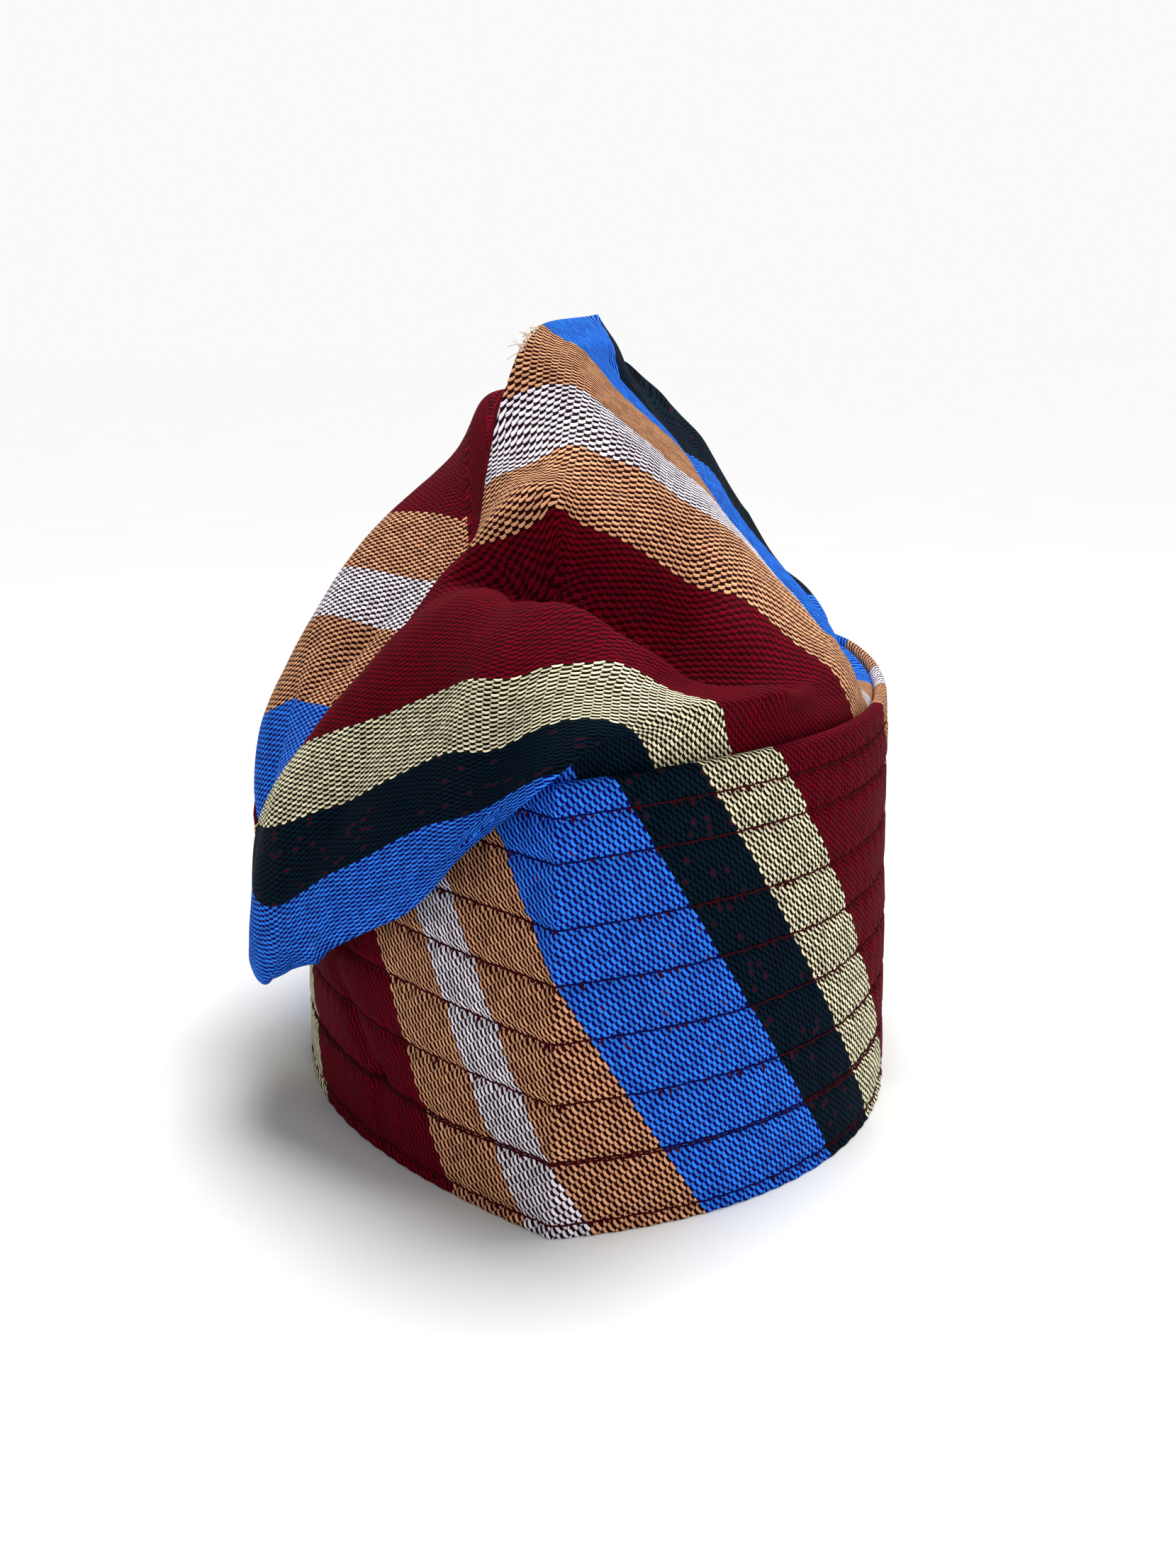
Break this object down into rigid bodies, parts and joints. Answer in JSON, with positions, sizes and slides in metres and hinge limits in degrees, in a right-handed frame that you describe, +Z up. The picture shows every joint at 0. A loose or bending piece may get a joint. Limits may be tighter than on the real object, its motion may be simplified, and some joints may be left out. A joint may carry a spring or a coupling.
{
  "type": "fila cap",
  "caption": "Tall soft cap of striped handwoven cloth with a stiff quilted cuff; its crown folds over to one side and hangs over the rim as a lobe.",
  "frame": {"origin": "centre of the cap's bounding box at its base, on the plane of the cuff's hem", "axes": "+Z up through the crown, -Y towards the cuff's front crease, +X towards the wearer's left"},
  "size_m": [0.1792, 0.2286, 0.203],
  "materials": {
    "band_cloth": "matt plain-woven cotton in diagonal stripes of maroon, tan, white, blue, green and cream, quilted in rows",
    "crown_cloth": "matt plain-woven cotton in the same stripes, soft and folded"
  },
  "bodies": {
    "root": {"band": "band_cloth", "crown": "crown_cloth"}
  },
  "joints": []
}
